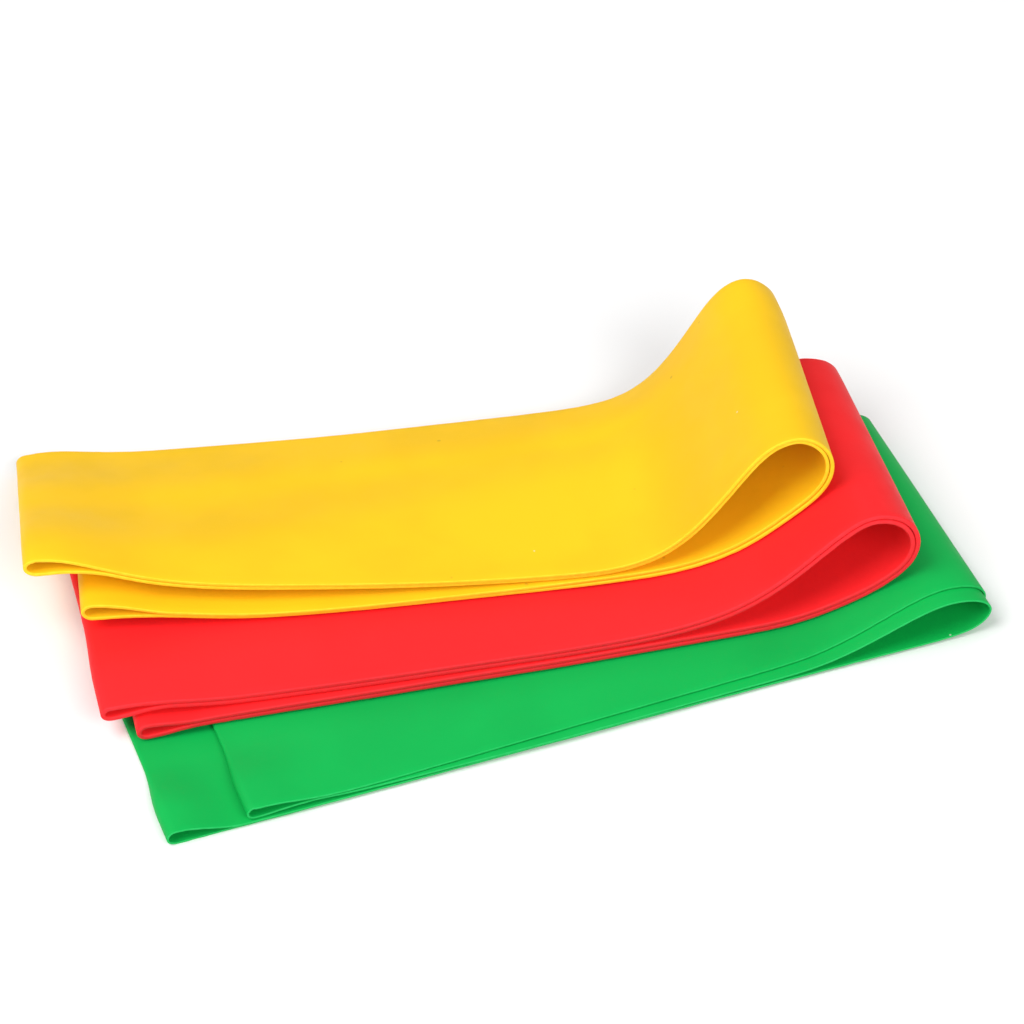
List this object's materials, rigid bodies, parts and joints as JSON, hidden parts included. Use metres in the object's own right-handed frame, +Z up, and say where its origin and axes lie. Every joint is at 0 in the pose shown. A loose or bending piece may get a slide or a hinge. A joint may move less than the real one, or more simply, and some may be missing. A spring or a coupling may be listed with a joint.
{
  "type": "resistance band",
  "caption": "Seamless rubber exercise loops, each pressed flat and folded in half, lying fanned in a loose stack on a flat surface.",
  "frame": {"origin": "centre of the green band's flat underside, on the surface that the stack rests on", "axes": "+Z up; +X along the red band, towards the three folds; +Y towards the back, where the yellow band fans out"},
  "size_m": [0.1676, 0.1002, 0.0372],
  "materials": {
    "green_rubber": "satin green latex",
    "red_rubber": "satin red latex",
    "yellow_rubber": "satin yellow latex"
  },
  "bodies": {
    "green": {"green_band": "green_rubber"},
    "red": {"red_band": "red_rubber"},
    "yellow": {"yellow_band": "yellow_rubber"}
  },
  "joints": [
    {"name": "red_lift", "type": "slide", "parent": "green", "child": "red", "axis": [0, 0, 1], "range_m": [0, 0.08]},
    {"name": "yellow_lift", "type": "slide", "parent": "red", "child": "yellow", "axis": [0, 0, 1], "range_m": [0, 0.08]}
  ]
}
